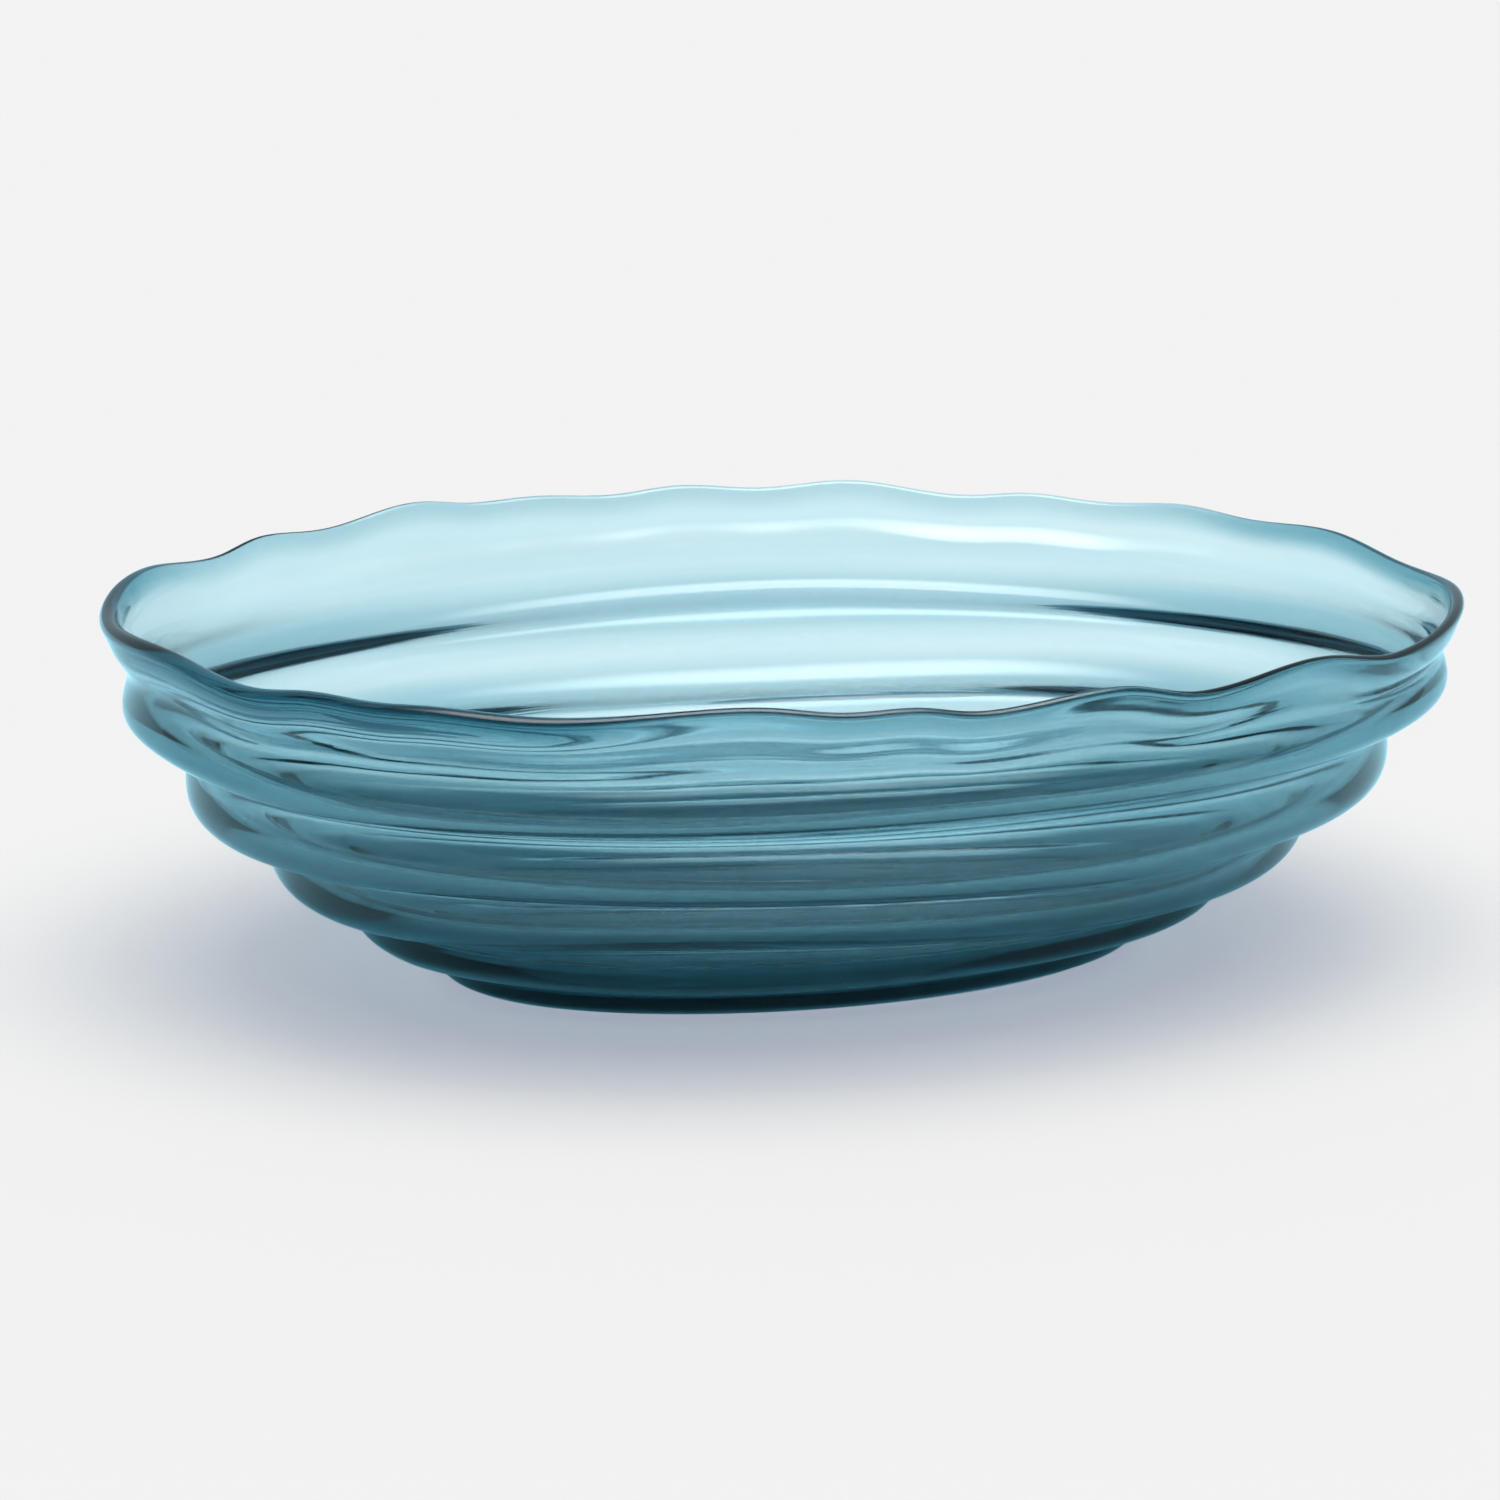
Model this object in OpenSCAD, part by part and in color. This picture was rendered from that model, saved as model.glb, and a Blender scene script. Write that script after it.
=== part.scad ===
/* [Overall] */
// Length of the base oval, end to end
base_length = 200; // [180:1:240]
// Width of the base oval, side to side
base_width = 108; // [90:1:135]
// How far the wall spreads past the base oval, the same all round
reach = 100; // [80:1:125]
// Mean height of the lip above the table
height = 112; // [92:1:140]

/* [Glass] */
// Thickness of the wall
wall = 3.5; // [3:0.25:5]
// Thickness of the wall at its foot, where most of the glass is left
foot_wall = 6.5; // [5:0.5:8]
// Least thickness of the lip, which is polished round
lip = 2.8; // [2:0.2:4]
// Thickness of the floor
floor_glass = 7; // [5:0.5:12]

/* [Wall shape] */
// Slope of the wall where it leaves the base, in degrees above level
foot_slope = 32; // [25:1:40]
// Length of wall over which that slope makes itself felt
foot_pull = 48; // [35:1:60]
// Slope of the wall just under the lip, in degrees above level
lip_slope = 93; // [80:1:95]
// Length of wall over which that slope makes itself felt
lip_pull = 46; // [35:1:58]
// How far the lip is turned out beyond the wall
flare = 3; // [0:0.5:6]

/* [Rings] */
// Depth of the lowest ring, as the ripple's height on either side of the wall
ring_1_depth = 2.2; // [0.5:0.1:4]
// Depth of the second ring
ring_2_depth = 3.4; // [0.5:0.1:5]
// Depth of the third ring
ring_3_depth = 4.4; // [0.5:0.1:5.5]
// Depth of the top ring
ring_4_depth = 5.2; // [0.5:0.1:6]
// Fullness of the rings: how much wider than the folds between them they are
ring_fullness = 0.25; // [0:0.05:0.4]
// Share of the rings' depth that is left on the long sides of the bowl
side_rings = 0.95; // [0.5:0.05:1]

/* [Rounding] */
// Rounding where the wall meets the ground base
base_round = 1; // [0.5:0.25:2]
// Rounding where the inner wall meets the floor
floor_round = 3; // [1:0.5:4]

/* [Hidden] */

// Facets round the bowl
around_count = 96;
// Rows of points from the base up the outer wall, and down the inner wall
outer_rows = 29;
inner_rows = 18;
// Steps in the round of the lip
lip_steps = 5;

// Places along the wall are counted in rings: 0 at the base, 1 to 4 at the rings, 5 at the lip
ring_depths = [ring_1_depth, ring_1_depth, ring_2_depth, ring_3_depth, ring_4_depth, ring_4_depth];
top_ring = 4;
lip_at = top_ring + 1;
// The flat of the base and the flat of the floor start a little inside the wall's foot
base_flat_at = -0.1;
floor_flat_at = -0.4;
// The ripple grows over this part of the foot, and dies out over this part above the top ring
ripple_start = 0.5;
ripple_end = 0.8;
// The lip starts to turn out here, above the top ring, and its bead starts here
flare_at = 4.25;
bead_at = 4.7;
// The wall has thinned from the foot's thickness to its own here
foot_thins = 2.5;

// Hand-shaped wander of each ring's edge, lowest ring first: [angle, mm up the wall] at its
// high and low places, with a smooth wave between them
ring_wander = [
    [[60, 1], [120, -1], [185, -0.5], [206, 1.5], [235, 0.5], [306, 2], [350, 0]],
    [[30, 1], [90, -2], [140, 2], [186, -4.5], [246, 5.5], [316, -5.5]],
    [[30, 1], [80, -2], [130, 1], [178, -2.5], [222, 0], [294, -4], [330, -2]],
    [[30, -1], [80, 2], [130, -1], [181, 4], [205, -2], [292, 3], [312, 2.5], [341, 4.5]]
];
// Crests and dips of the lip: [angle, mm above its mean height]
lip_waves = [
    [2, -5], [12, -1], [20, -2.5], [28, 0], [36, -1.5], [45, 0.5], [52, -1],
    [67, 4], [77, 2], [87, 4], [96, 2], [106, 3.5], [113, 3], [121, 5.5],
    [134, 1], [143, 3], [150, 0], [163, 4], [178, 1], [189, 2.5], [200, -2.5],
    [206, -0.5], [213, -1.5], [217, -1], [227, -2], [249, 2.5], [259, 0],
    [265, 0.5], [272, -2], [287, 2], [297, -2.5], [312, 1], [327, -4.5], [348, -2]
];
// Where the lip leans further out or less: [angle, mm beyond the flare]
lip_leans = [
    [10, 0], [30, 1], [90, 0], [130, 1], [150, 0], [175, 3.5], [205, 0],
    [250, 1], [272, -1], [287, 1], [320, 0], [346, 2]
];
// Where the glass has gathered in the lip as a bead: [angle, mm thicker than the least]
lip_beads = [
    [10, 1.2], [40, 0], [150, 0.2], [180, 3], [220, 3], [245, 0.4], [330, 0.4], [350, 1.6]
];
// How closely the inner wall follows the outer rings: [angle, share of the ripple]
inner_follow = [
    [15, 0.66], [60, 0.92], [100, 0.9], [145, 0.66], [180, 0.76], [230, 0.92], [300, 0.92],
    [345, 0.85]
];

// Keeps a share between 0 and 1
function share(x) = min(max(x, 0), 1);

// Rises smoothly from 0 to 1 as x does
function ease(x) = let (u = share(x)) u * u * (3 - 2 * u);

// Value at angle a of a closed list of [angle, value] crests and dips
function wave_at(list, a) =
    let (
        below = [for (p = list) if (p[0] <= a) p],
        above = [for (p = list) if (p[0] > a) p],
        low = len(below) > 0 ? below[len(below) - 1] : list[len(list) - 1] - [360, 0],
        high = len(above) > 0 ? above[0] : list[0] + [360, 0],
        u = (a - low[0]) / (high[0] - low[0])
    )
    low[1] + (high[1] - low[1]) * (1 - cos(180 * u)) / 2;

// Ends and handles of the curve that the wall's middle follows, as [out from the base, up]
wall_top = [reach - flare, height - lip / 2];
wall_curve = [
    [0, 0],
    foot_pull * [cos(foot_slope), sin(foot_slope)],
    wall_top - lip_pull * [cos(lip_slope), sin(lip_slope)],
    wall_top
];

// Point of that curve at ring place s
function wall_middle(s) =
    let (t = s / lip_at, c = wall_curve)
    pow(1 - t, 3) * c[0] + 3 * pow(1 - t, 2) * t * c[1] + 3 * (1 - t) * t * t * c[2] + pow(t, 3) * c[3];

// Unit vector that points out of the wall at ring place s
function wall_outward(s) =
    let (
        t = s / lip_at,
        c = wall_curve,
        v = pow(1 - t, 2) * (c[1] - c[0]) + 2 * (1 - t) * t * (c[2] - c[1]) + t * t * (c[3] - c[2])
    )
    [v[1], -v[0]] / norm(v);

// Distance up the wall from one ring to the next
chord_count = 20;
chords = [
    for (i = [1:chord_count])
        norm(wall_middle(lip_at * i / chord_count) - wall_middle(lip_at * (i - 1) / chord_count))
];
ring_pitch = chords * [for (i = [1:chord_count]) 1] / lip_at;

// How far the ring pattern has wandered up the wall, between one ring and the next
function wander(s, a) =
    let (
        k = min(max(s, 1), top_ring),
        i = min(floor(k), top_ring - 1),
        low = wave_at(ring_wander[i - 1], a),
        high = wave_at(ring_wander[i], a)
    )
    low + (high - low) * ease(k - i);

// Depth of the rings at ring place s and angle a
function ring_depth(s, a) =
    lookup(s, [for (i = [0:lip_at]) [i, ring_depths[i]]])
        * (1 - (1 - side_rings) * pow(sin(a), 2))
        * ease(s / ripple_start)
        * (1 - ease((s - top_ring) / ripple_end));

// Ripple of the rings, out from the wall's middle curve
function ripple(s, a) =
    let (turn = 360 * (s - wander(s, a) / ring_pitch))
    ring_depth(s, a) * (cos(turn) + ring_fullness * pow(sin(turn), 2));

// Thickness of the glass, which thins from the foot up and gathers in the lip
function glass(s, a) =
    foot_wall
        - (foot_wall - wall) * ease(s / foot_thins)
        - (wall - lip) * ease(s - top_ring)
        + wave_at(lip_beads, a) * ease((s - bead_at) / (lip_at - bead_at));

// Height z, rounded into a level at height f with a radius of about r
function settle(z, f, r) = z < f - r ? f : z > f + r ? z : f + pow(z - f + r, 2) / (4 * r);

// Point of the outer or inner wall at ring place s and angle a
function wall_point(s, a, inside) =
    let (
        half_length = base_length / 2,
        half_width = base_width / 2,
        outer = ripple(s, a),
        off = inside ? outer * wave_at(inner_follow, a) - glass(s, a) : outer,
        p = wall_middle(s) + off * wall_outward(s),
        lean = (flare + wave_at(lip_leans, a)) * pow(share((s - flare_at) / (lip_at - flare_at)), 1.5),
        out = p[0] + lean,
        up = p[1] + wave_at(lip_waves, a) * ease(s - top_ring),
        side = [half_width * cos(a), half_length * sin(a)],
        z = inside ? settle(up, floor_glass, floor_round) : settle(up, 0, base_round)
    )
    [
        half_length * cos(a) + out * side[0] / norm(side),
        half_width * sin(a) + out * side[1] / norm(side),
        z
    ];

// A row of points all round the wall at ring place s
function wall_row(s, inside) =
    [for (i = [0:around_count - 1]) wall_point(s, 360 * i / around_count, inside)];

// A row of the lip's round, at angle turn from its outer to its inner side
function lip_row(outer, inner, turn) =
    [
        for (i = [0:around_count - 1])
            let (bulge = (lip + wave_at(lip_beads, 360 * i / around_count)) / 2)
            (outer[i] + inner[i]) / 2
                + (outer[i] - inner[i]) / 2 * cos(turn)
                + [0, 0, bulge * sin(turn)]
    ];

// The whole bowl as one closed skin: base, outer wall, lip, inner wall, floor
module bowl() {
    outer_lip = wall_row(lip_at, false);
    inner_lip = wall_row(lip_at, true);
    rows = [
        for (i = [0:outer_rows - 1])
            wall_row(base_flat_at + (lip_at - base_flat_at) * i / outer_rows, false),
        outer_lip,
        for (i = [1:lip_steps]) lip_row(outer_lip, inner_lip, 180 * i / (lip_steps + 1)),
        inner_lip,
        for (i = [1:inner_rows])
            wall_row(lip_at + (floor_flat_at - lip_at) * i / inner_rows, true)
    ];
    points = [for (row = rows) for (p = row) p];
    xs = [for (p = points) p[0]];
    ys = [for (p = points) p[1]];
    middle = [min(xs) + max(xs), min(ys) + max(ys), 0] / 2;
    n = around_count;
    top = len(rows) - 1;
    sides = [
        for (r = [0:top - 1])
            for (i = [0:n - 1])
                let (j = (i + 1) % n, a = r * n + i, b = r * n + j)
                each [[a, a + n, b + n], [a, b + n, b]]
    ];
    base_face = [for (i = [0:n - 1]) i];
    floor_face = [for (i = [n - 1:-1:0]) top * n + i];
    color([0.36, 0.62, 0.7])
        translate(-middle)
            polyhedron(points, concat([base_face, floor_face], sides), convexity = 6);
}

bowl();
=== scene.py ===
import math

import bpy
import numpy as np
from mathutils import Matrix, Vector


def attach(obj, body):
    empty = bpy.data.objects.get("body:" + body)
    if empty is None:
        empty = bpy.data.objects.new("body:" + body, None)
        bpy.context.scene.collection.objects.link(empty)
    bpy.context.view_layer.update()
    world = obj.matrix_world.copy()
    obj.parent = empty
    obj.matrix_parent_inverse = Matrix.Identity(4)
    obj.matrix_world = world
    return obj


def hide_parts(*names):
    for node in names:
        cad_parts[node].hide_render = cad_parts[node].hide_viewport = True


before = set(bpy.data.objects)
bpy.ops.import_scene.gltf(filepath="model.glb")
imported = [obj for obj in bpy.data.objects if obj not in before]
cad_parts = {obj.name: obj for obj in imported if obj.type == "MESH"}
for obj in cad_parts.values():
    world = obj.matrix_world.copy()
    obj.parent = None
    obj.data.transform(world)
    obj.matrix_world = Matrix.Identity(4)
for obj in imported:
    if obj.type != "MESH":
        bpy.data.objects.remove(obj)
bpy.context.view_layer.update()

# ---------------------------------------------------------------------------------------------
# The bowl. One oval vessel of teal glass, blown into a ringed mould, its lip sheared by hand,
# turned out and fire-polished, and its base ground flat. It is one piece: nothing is fixed to it.

base_length = 0.200
base_width = 0.108
reach = 0.100
height = 0.112
wall = 0.0035
foot_wall = 0.0065
foot_thins = 2.5
lip = 0.0028
floor_glass = 0.007
foot_slope, foot_pull = math.radians(32), 0.048
lip_slope, lip_pull = math.radians(93), 0.046
flare = 0.003
ring_depths = np.array([2.2, 2.2, 3.4, 4.4, 5.2, 5.2]) / 1000
ring_fullness = 0.25
side_rings = 0.95
base_round = 0.001
floor_round = 0.003

top_ring = 4
lip_at = top_ring + 1
base_flat_at = -0.1
floor_flat_at = -0.4
ripple_start = 0.5
ripple_end = 0.8
flare_at = 4.25
flare_power = 1.5
bead_at = 4.7

# Wander of each ring's edge, lowest first, and the waves of the lip: [degrees, mm] at the crests
# and dips, with a smooth wave between them.
ring_wander = [
    [[60, 1], [120, -1], [185, -0.5], [206, 1.5], [235, 0.5], [306, 2], [350, 0]],
    [[30, 1], [90, -2], [140, 2], [186, -4.5], [246, 5.5], [316, -5.5]],
    [[30, 1], [80, -2], [130, 1], [178, -2.5], [222, 0], [294, -4], [330, -2]],
    [[30, -1], [80, 2], [130, -1], [181, 4], [205, -2], [292, 3], [312, 2.5], [341, 4.5]],
]
lip_waves = [
    [2, -5], [12, -1], [20, -2.5], [28, 0], [36, -1.5], [45, 0.5], [52, -1],
    [67, 4], [77, 2], [87, 4], [96, 2], [106, 3.5], [113, 3], [121, 5.5],
    [134, 1], [143, 3], [150, 0], [163, 4], [178, 1], [189, 2.5], [200, -2.5],
    [206, -0.5], [213, -1.5], [217, -1], [227, -2], [249, 2.5], [259, 0],
    [265, 0.5], [272, -2], [287, 2], [297, -2.5], [312, 1], [327, -4.5], [348, -2],
]
lip_leans = [
    [10, 0], [30, 1], [90, 0], [130, 1], [150, 0], [175, 3.5], [205, 0],
    [250, 1], [272, -1], [287, 1], [320, 0], [346, 2],
]

# How much thicker the lip is where its glass has gathered into a bead, and how closely the inner
# wall follows the outer rings round the bowl: [degrees, mm] and [degrees, share].
lip_beads = [
    [10, 1.2], [40, 0], [150, 0.2], [180, 3], [220, 3], [245, 0.4], [330, 0.4], [350, 1.6],
]
inner_follow = [
    [15, 0.66], [60, 0.92], [100, 0.9], [145, 0.66],
    [180, 0.76], [230, 0.92], [300, 0.92], [345, 0.85],
]

# How finely the skin is cut: points round the bowl, rows up the outside, down the inside, over
# the lip and across the two flats, steps along the wall to measure its length, and the harmonic
# round the bowl at which the waves have faded to a third.
around_count = 360
outer_count = 130
inner_count = 104
lip_count = 13
flat_count = 9
path_count = 200
wave_softness = 60

turn = np.arange(around_count) / around_count
angle = 2 * np.pi * turn


def ease(x):
    """A smooth step: 0 below 0, 1 above 1, and 3x^2 - 2x^3 between."""
    x = np.clip(x, 0, 1)
    return x * x * (3 - 2 * x)


def closed_wave(marks):
    """Value at each angle: half cosines from one [degrees, value] mark to the next, right round,
    then rounded off by multiplying each harmonic n by exp(-(n / wave_softness)^2)."""
    at, size = np.array(marks, float).T
    at = np.concatenate([at[-1:] - 360, at, at[:1] + 360])
    size = np.concatenate([size[-1:], size, size[:1]])
    degrees = 360 * turn
    k = np.searchsorted(at, degrees, side="right") - 1
    share = (degrees - at[k]) / (at[k + 1] - at[k])
    wave = size[k] + (size[k + 1] - size[k]) * (1 - np.cos(np.pi * share)) / 2
    tones = np.fft.rfft(wave)
    tones *= np.exp(-((np.arange(len(tones)) / wave_softness) ** 2))
    return np.fft.irfft(tones, around_count)


wander_at_rings = np.array([closed_wave(marks) for marks in ring_wander]) / 1000
lip_rise = closed_wave(lip_waves) / 1000
lip_lean = closed_wave(lip_leans) / 1000
lip_bead = closed_wave(lip_beads) / 1000
inner_ripple = closed_wave(inner_follow)


def wall_middle(s):
    """The cubic Bezier curve of the wall's middle, as (out, up) and its unit normal, at ring
    place s: 3(1-t)^2 t B + 3(1-t)t^2 C + t^3 D with t = s / lip_at, from the base's edge at
    (0, 0) by the handles B and C to the lip at D."""
    top = np.array([reach - flare, height - lip / 2])
    b = foot_pull * np.array([math.cos(foot_slope), math.sin(foot_slope)])
    c = top - lip_pull * np.array([math.cos(lip_slope), math.sin(lip_slope)])
    t = (s / lip_at)[..., None]
    place = 3 * (1 - t) ** 2 * t * b + 3 * (1 - t) * t**2 * c + t**3 * top
    speed = (1 - t) ** 2 * b + 2 * (1 - t) * t * (c - b) + t**2 * (top - c)
    speed /= np.linalg.norm(speed, axis=-1, keepdims=True)
    return place, np.stack([speed[..., 1], -speed[..., 0]], -1)


path = wall_middle(np.linspace(0, lip_at, path_count))[0]
ring_pitch = np.linalg.norm(np.diff(path, axis=0), axis=1).sum() / lip_at


def settle(z, level, radius):
    """Height z, kept from going under a level: level + (z - level + r)^2 / 4r near it."""
    bend = level + (z - level + radius) ** 2 / (4 * radius)
    return np.where(z < level - radius, level, np.where(z > level + radius, z, bend))


def wander_at(s):
    """How far the ring pattern has wandered up the wall at ring places s, blended smoothly from
    one ring to the next."""
    k = np.clip(s, 1, top_ring)
    low = np.clip(np.floor(k).astype(int), 1, top_ring - 1)
    below = wander_at_rings[low[:, 0] - 1]
    above = wander_at_rings[low[:, 0]]
    return below + (above - below) * ease(k - low)


def wall_rows(s, inside):
    """Rows of points round the wall at ring places s. The middle curve is moved along its normal
    by depth (cos p + fullness sin^2 p) for the rings, with p = 2 pi (s - wander), and by the
    glass's thickness for the inside. The glass thins by smooth steps, from foot to wall over the
    first foot_thins rings and from wall to lip above the top ring, and is thicker again in the
    lip's bead. The lip's lean grows as a power of the place above flare_at, and its rise as a
    smooth step above the top ring. The distance out is laid off square to the base oval."""
    s = np.asarray(s, float)[:, None]
    middle, normal = wall_middle(np.broadcast_to(s, (len(s), around_count)))
    depth = np.interp(s, np.arange(lip_at + 1), ring_depths)
    depth = depth * (1 - (1 - side_rings) * np.sin(angle) ** 2)
    phase = 2 * np.pi * (s - wander_at(s) / ring_pitch)
    ripple = depth * (np.cos(phase) + ring_fullness * np.sin(phase) ** 2)
    ripple = ripple * ease(s / ripple_start) * (1 - ease((s - top_ring) / ripple_end))
    glass = wall + (foot_wall - wall) * (1 - ease(s / foot_thins))
    glass = glass - (wall - lip) * ease(s - top_ring)
    glass = glass + lip_bead * ease((s - bead_at) / (lip_at - bead_at))
    off = ripple * inner_ripple - glass if inside else ripple
    out = middle[..., 0] + off * normal[..., 0]
    turned_out = np.clip((s - flare_at) / (lip_at - flare_at), 0, 1) ** flare_power
    out += (flare + lip_lean) * turned_out
    up = middle[..., 1] + off * normal[..., 1] + lip_rise * ease(s - top_ring)
    up = settle(up, floor_glass, floor_round) if inside else settle(up, 0, base_round)
    a, b = base_length / 2, base_width / 2
    side = np.stack([b * np.cos(angle), a * np.sin(angle)], -1)
    side /= np.linalg.norm(side, axis=-1, keepdims=True)
    x = a * np.cos(angle) + out * side[:, 0]
    y = b * np.sin(angle) + out * side[:, 1]
    return np.stack([x, y, up], -1)


# Painted shade, laid on the glass as a darker colour: how far up from a fold it is deepest, in
# radians of ring, how deep it is there, and the lip's depth of it without a bead and the bead
# that makes it full.
shade_lag = 0.9
fold_shade = 0.5
least_lip_shade = 0.4
full_bead = 0.003


def painted_shade_share(s):
    """How deep the painted shade is at ring places s, 0 to 1: a darker colour laid under each
    ring's crest, as the fold's depth times (1 - cos(2 pi (s - wander) - lag)) / 2, and in the
    bead of the lip."""
    s = np.asarray(s, float)[:, None]
    phase = 2 * np.pi * (s - wander_at(s) / ring_pitch)
    under = (1 - np.cos(phase - shade_lag)) / 2 * ease(s / foot_thins)
    under = under * (1 - ease((s - top_ring) / ripple_end))
    bead_share = np.clip(least_lip_shade + lip_bead / full_bead, 0, 1)
    in_lip = ease((s - bead_at) / (lip_at - bead_at)) * bead_share
    return fold_shade * under * (1 - in_lip) + in_lip


def bowl_rows():
    """All rows of the skin, the base, outer wall, lip, inner wall and floor, and the depth of
    the painted shade along them. The lip is half an ellipse at each angle: its middle, plus half
    the way across times cos(roll), plus half its thickness upwards times sin(roll)."""
    outer_at = np.linspace(base_flat_at, lip_at, outer_count)
    inner_at = np.linspace(lip_at, floor_flat_at, inner_count)
    outer, inner = wall_rows(outer_at, False), wall_rows(inner_at, True)
    roll = np.linspace(0, np.pi, lip_count)[1:-1, None, None]
    across = (outer[-1] - inner[0]) / 2
    bulge = (lip + lip_bead)[:, None] / 2 * np.sin(roll) * [0, 0, 1]
    edge = (outer[-1] + inner[0]) / 2 + across * np.cos(roll) + bulge
    share = np.linspace(0, 1, flat_count)[1:-1, None, None]
    base = outer[0] * np.concatenate([share, share, share * 0 + 1], -1)
    floor = inner[-1] * np.concatenate([share, share, share * 0 + 1], -1)[::-1]
    flat = np.zeros((len(share), around_count))
    lip_shade = np.repeat(painted_shade_share([lip_at]), len(roll), axis=0)
    colour = np.concatenate([flat, painted_shade_share(outer_at), lip_shade, painted_shade_share(inner_at), flat])
    return np.concatenate([base, outer, edge, inner, floor]), colour


def skin_of(name, rows):
    """A closed mesh from rows of points: quads between rows, and a fan to a pole at each end."""
    count, n = rows.shape[:2]
    poles = np.array([rows[0].mean(0), rows[-1].mean(0)])
    points = np.concatenate([rows.reshape(-1, 3), poles])
    i = np.arange(n)
    j = (i + 1) % n
    r = np.arange(count - 1)[:, None] * n
    quads = np.stack([r + i, r + j, r + j + n, r + i + n], -1).reshape(-1, 4)
    first = np.stack([j, i, np.full(n, count * n)], -1)
    last = np.stack([i, j, np.full(n, count * n + 1)], -1)
    last[:, :2] += (count - 1) * n
    mesh = bpy.data.meshes.new(name)
    mesh.from_pydata(points.tolist(), [], quads.tolist() + first.tolist() + last.tolist())
    mesh.shade_smooth()
    piece = bpy.data.objects.new(name, mesh)
    bpy.context.scene.collection.objects.link(piece)
    return piece


# The lip leans further out in some places than in others, so the skin is centred on the frame
# again, as the CAD's is.
rows, painted_ring_shade = bowl_rows()
middle = (rows.reshape(-1, 3).min(0) + rows.reshape(-1, 3).max(0)) / 2
rows -= middle * [1, 1, 0]
glass_bowl = skin_of("glass_bowl", rows)
# A per-point share of painted shade: how much of the darker colour lies on the glass there.
shade_layer = glass_bowl.data.attributes.new("painted_ring_shade", "FLOAT", "POINT")
at_poles = [0.0, 0.0]
shade_values = np.append(painted_ring_shade.ravel(), at_poles).astype(np.float32)
shade_layer.data.foreach_set("value", shade_values)

# The glass: how it bends and takes up light, and the scale per metre, detail and height in metres
# of the cords, the swell and the bloom in its skin.
bending = 1.45
taken_up, taken_per_metre = (0.225, 0.553, 0.619, 1), 320
cord_scale, cord_detail, cord_height = (4, 4, 170), 1.5, 0.00007
swell_scale, swell_detail, swell_height = (8, 8, 30), 1, 0.0035
bloom_scale, bloom_detail = (30, 30, 40), 4
cord_colour, cord_from = (0.93, 0.98, 1.0, 1), 0.35
clear_colour, clear_from = (1.0, 1.0, 1.0, 1), 0.65
# The darker colour of the painted shade under the rings and in the lip's bead.
painted_shade_colour = (0.2, 0.48, 0.56, 1)
bloom_from, bloom_full, bloom_roughness = 0.4, 0.7, 0.06


def teal_glass():
    """Glass coloured through: a plain absorption takes red out first. Drawn-out cords and a slow
    swell in the skin are noise stretched round the bowl, as height for a bump. The same cords
    tint the skin a little, a per-point share paints shade as a deeper colour under the rings and
    in the lip's bead, and a fine bloom of use lifts its roughness in patches."""
    material = bpy.data.materials.new("teal_glass")
    material.use_nodes = True
    nodes, links = material.node_tree.nodes, material.node_tree.links
    nodes.clear()
    out = nodes.new("ShaderNodeOutputMaterial")
    shader = nodes.new("ShaderNodeBsdfPrincipled")
    shader.inputs["Transmission Weight"].default_value = 1.0
    shader.inputs["IOR"].default_value = bending
    absorb = nodes.new("ShaderNodeVolumeAbsorption")
    absorb.inputs["Color"].default_value = taken_up
    absorb.inputs["Density"].default_value = taken_per_metre
    links.new(shader.outputs["BSDF"], out.inputs["Surface"])
    links.new(absorb.outputs["Volume"], out.inputs["Volume"])
    place = nodes.new("ShaderNodeTexCoord")

    def stretched_noise(per_metre, detail):
        stretch = nodes.new("ShaderNodeMapping")
        stretch.inputs["Scale"].default_value = per_metre
        noise = nodes.new("ShaderNodeTexNoise")
        noise.inputs["Scale"].default_value = 1.0
        noise.inputs["Detail"].default_value = detail
        links.new(place.outputs["Object"], stretch.inputs["Vector"])
        links.new(stretch.outputs["Vector"], noise.inputs["Vector"])
        return noise.outputs["Fac"]

    cords = stretched_noise(cord_scale, cord_detail)
    swell = stretched_noise(swell_scale, swell_detail)
    bloom = stretched_noise(bloom_scale, bloom_detail)
    normal = None
    for pattern, size in ((cords, cord_height), (swell, swell_height)):
        bump = nodes.new("ShaderNodeBump")
        bump.inputs["Distance"].default_value = size
        links.new(pattern, bump.inputs["Height"])
        if normal:
            links.new(normal, bump.inputs["Normal"])
        normal = bump.outputs["Normal"]
    links.new(normal, shader.inputs["Normal"])
    tint = nodes.new("ShaderNodeValToRGB")
    tint.color_ramp.elements[0].position = cord_from
    tint.color_ramp.elements[0].color = cord_colour
    tint.color_ramp.elements[1].position = clear_from
    tint.color_ramp.elements[1].color = clear_colour
    links.new(cords, tint.inputs["Fac"])
    # Painted shade: the per-point share mixes the darker colour into the glass's colour.
    shade_share_node = nodes.new("ShaderNodeAttribute")
    shade_share_node.attribute_name = "painted_ring_shade"
    paint_shade = nodes.new("ShaderNodeMix")
    paint_shade.data_type = "RGBA"
    paint_shade.inputs["B"].default_value = painted_shade_colour
    links.new(shade_share_node.outputs["Fac"], paint_shade.inputs["Factor"])
    links.new(tint.outputs["Color"], paint_shade.inputs["A"])
    links.new(paint_shade.outputs["Result"], shader.inputs["Base Color"])
    rough = nodes.new("ShaderNodeMapRange")
    rough.inputs["From Min"].default_value = bloom_from
    rough.inputs["From Max"].default_value = bloom_full
    rough.inputs["To Min"].default_value = 0.0
    rough.inputs["To Max"].default_value = bloom_roughness
    links.new(bloom, rough.inputs["Value"])
    links.new(rough.outputs["Result"], shader.inputs["Roughness"])
    return material


glass_bowl.data.materials.append(teal_glass())
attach(glass_bowl, "root")
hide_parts("bowl")

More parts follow.
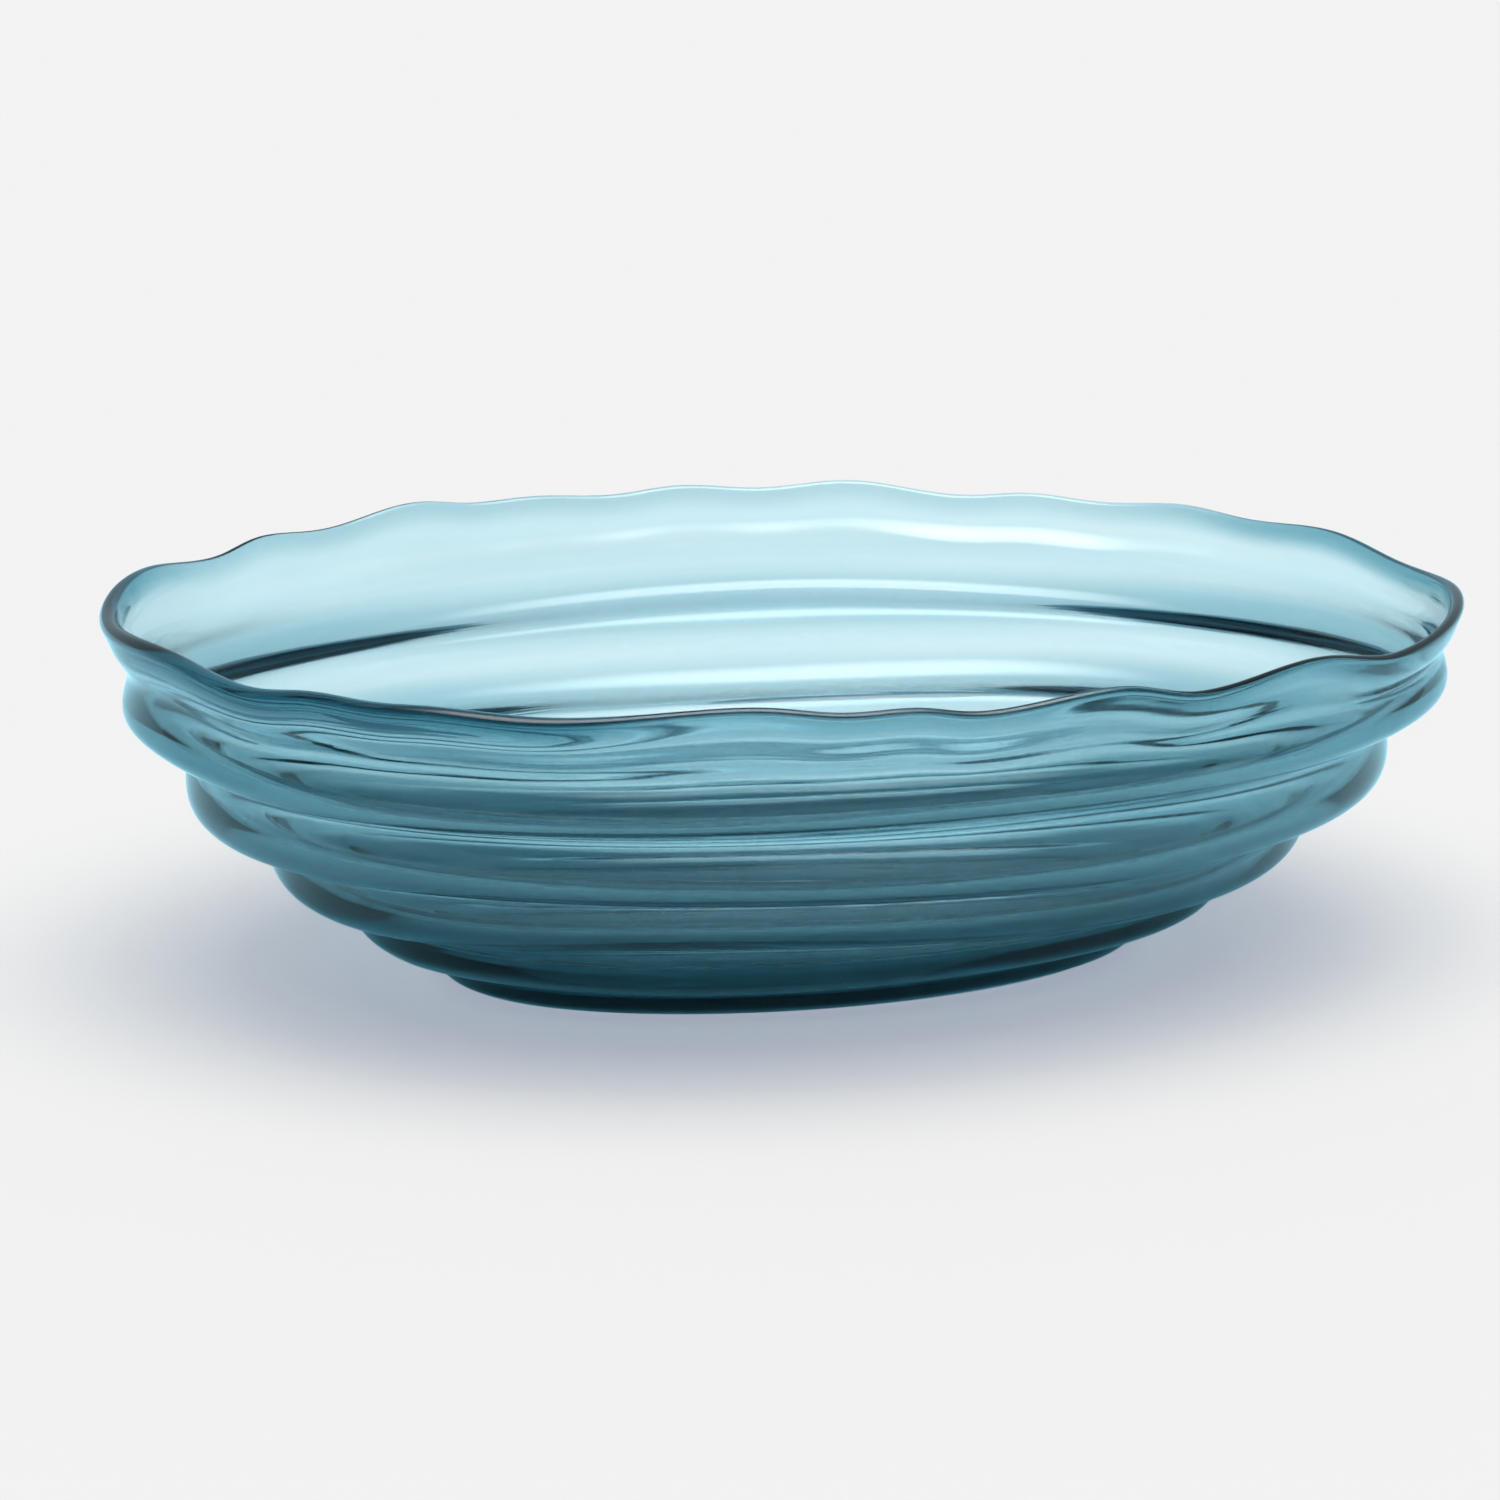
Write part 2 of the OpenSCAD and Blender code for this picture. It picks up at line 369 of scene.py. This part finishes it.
# ---------------------------------------------------------------------------------------------
# The floor: a plain pale sheet, wide enough that its edge is never seen, a hair's breadth of air
# below the base. It has one colour for the camera, a brighter one for the glass to see through,
# and a darker, bluer one, painted shade, for reflections, and part of what the camera sees of it
# is a plain glow.

half = 15.0
level = -0.0003
# Painted light on the floor: the glass sees the paper brighter than the camera does, and the
# glass's reflections see a darker, bluer copy of it, painted shade.
paper_seen = (0.505, 0.488, 0.414, 1)
paper_lit = (0.74, 0.69, 0.68, 1)
paper_painted_in_reflections = (0.3, 0.53, 0.62, 1)
paper_glow, glow_share = (0.76, 0.75, 0.93, 1), 0.42
paper_roughness = 0.9

floor_mesh = bpy.data.meshes.new("floor")
floor_mesh.from_pydata(
    [(-half, -half, level), (half, -half, level), (half, half, level), (-half, half, level)],
    [],
    [(0, 1, 2, 3)],
)
floor = bpy.data.objects.new("floor", floor_mesh)
bpy.context.scene.collection.objects.link(floor)


def blend_colours(tree, share, first, second):
    """first where share is 0, second where it is 1; each is a colour or a socket."""
    mix = tree.nodes.new("ShaderNodeMix")
    mix.data_type = "RGBA"
    tree.links.new(share, mix.inputs["Factor"])
    for name, colour in (("A", first), ("B", second)):
        if isinstance(colour, tuple):
            mix.inputs[name].default_value = colour
        else:
            tree.links.new(colour, mix.inputs[name])
    return mix.outputs["Result"]


def pale_paper():
    """Matt white paper. About two fifths of what the camera sees of it is a plain lilac glow,
    which keeps the bowl's shadow light and cool."""
    material = bpy.data.materials.new("pale_paper")
    material.use_nodes = True
    tree = material.node_tree
    shader = tree.nodes["Principled BSDF"]
    shader.inputs["Roughness"].default_value = paper_roughness
    shader.inputs["Specular IOR Level"].default_value = 0.0
    ray = tree.nodes.new("ShaderNodeLightPath")
    mirrored = tree.nodes.new("ShaderNodeMath")
    mirrored.operation = "SUBTRACT"
    mirrored.use_clamp = True
    tree.links.new(ray.outputs["Is Glossy Ray"], mirrored.inputs[0])
    tree.links.new(ray.outputs["Is Transmission Ray"], mirrored.inputs[1])
    unseen = blend_colours(tree, mirrored.outputs[0], paper_lit, paper_painted_in_reflections)
    colour = blend_colours(tree, ray.outputs["Is Camera Ray"], unseen, paper_seen)
    tree.links.new(colour, shader.inputs["Base Color"])
    glow = tree.nodes.new("ShaderNodeEmission")
    glow.inputs["Color"].default_value = paper_glow
    part = tree.nodes.new("ShaderNodeMath")
    part.operation = "MULTIPLY"
    part.inputs[1].default_value = glow_share
    tree.links.new(ray.outputs["Is Camera Ray"], part.inputs[0])
    both = tree.nodes.new("ShaderNodeMixShader")
    tree.links.new(part.outputs[0], both.inputs[0])
    tree.links.new(shader.outputs["BSDF"], both.inputs[1])
    tree.links.new(glow.outputs["Emission"], both.inputs[2])
    tree.links.new(both.outputs["Shader"], tree.nodes["Material Output"].inputs["Surface"])
    return material


floor_mesh.materials.append(pale_paper())

# ---------------------------------------------------------------------------------------------
# The light: one big softbox over the bowl, in a cool tinted room that is dim on the camera's side
# and paler beyond the bowl, all as a function of direction. The camera itself sees a plain pale
# backdrop.

near_room = (0.13, 0.17, 0.18, 1)
far_room = (0.4, 0.56, 0.64, 1)
room_blend = 0.3
softbox = (8.1, 8.1, 8.1, 1)
box_turn, box_rise = 15, 74
box_edge, box_full = 40, 6
backdrop = (0.887, 0.887, 0.887, 1)

turn_left = math.radians(-16.4)
towards_camera = Vector((math.sin(turn_left), -math.cos(turn_left), 0))
camera_right = Vector((math.cos(turn_left), math.sin(turn_left), 0))


def aimed(turn, rise):
    """Direction at a rise above the floor, turned right from the side that faces the camera."""
    turn, rise = math.radians(turn), math.radians(rise)
    level = towards_camera * math.cos(turn) + camera_right * math.sin(turn)
    return level * math.cos(rise) + Vector((0, 0, math.sin(rise)))


box_middle = aimed(box_turn, box_rise)

world = bpy.data.worlds.new("studio")
bpy.context.scene.world = world
world.use_nodes = True
tree = world.node_tree
direction = tree.nodes.new("ShaderNodeTexCoord").outputs["Generated"]


def facing(axis, edge, full):
    """From 0 to 1 as the direction's cosine with the axis goes from edge to full."""
    dot = tree.nodes.new("ShaderNodeVectorMath")
    dot.operation = "DOT_PRODUCT"
    dot.inputs[1].default_value = axis
    tree.links.new(direction, dot.inputs[0])
    level = tree.nodes.new("ShaderNodeMapRange")
    level.interpolation_type = "SMOOTHSTEP"
    level.inputs["From Min"].default_value = edge
    level.inputs["From Max"].default_value = full
    tree.links.new(dot.outputs["Value"], level.inputs["Value"])
    return level.outputs["Result"]


def spot(middle, edge, full):
    """A round light: 1 within full degrees of its middle, 0 beyond edge degrees."""
    return facing(middle, math.cos(math.radians(edge)), math.cos(math.radians(full)))


beyond = facing(-towards_camera, -room_blend, room_blend)
room = blend_colours(tree, beyond, near_room, far_room)
lit_room = blend_colours(tree, spot(box_middle, box_edge, box_full), room, softbox)
ray = tree.nodes.new("ShaderNodeLightPath")
seen = blend_colours(tree, ray.outputs["Is Camera Ray"], lit_room, backdrop)
tree.links.new(seen, tree.nodes["Background"].inputs["Color"])

# Light that is caught in the glass bounces many times before it leaves.
cycles = bpy.context.scene.cycles
cycles.max_bounces = 24
cycles.glossy_bounces = 16
cycles.transmission_bounces = 24

# ---------------------------------------------------------------------------------------------
# The camera: a long lens, a little above the lip, with the bowl's near end to its left.

look_down = math.radians(13.9)
distance = 1.4
back = towards_camera * math.cos(look_down) + Vector((0, 0, math.sin(look_down)))
aim = Vector((-0.0111, 0.0031, 0.0641))
lens = bpy.data.cameras.new("camera")
lens.lens = 113.2
lens.clip_end = 100
camera = bpy.data.objects.new("camera", lens)
camera.location = aim + back * distance
camera.rotation_euler = back.to_track_quat("Z", "Y").to_euler()
bpy.context.scene.collection.objects.link(camera)
bpy.context.scene.camera = camera
bpy.context.scene.view_settings.view_transform = "Standard"
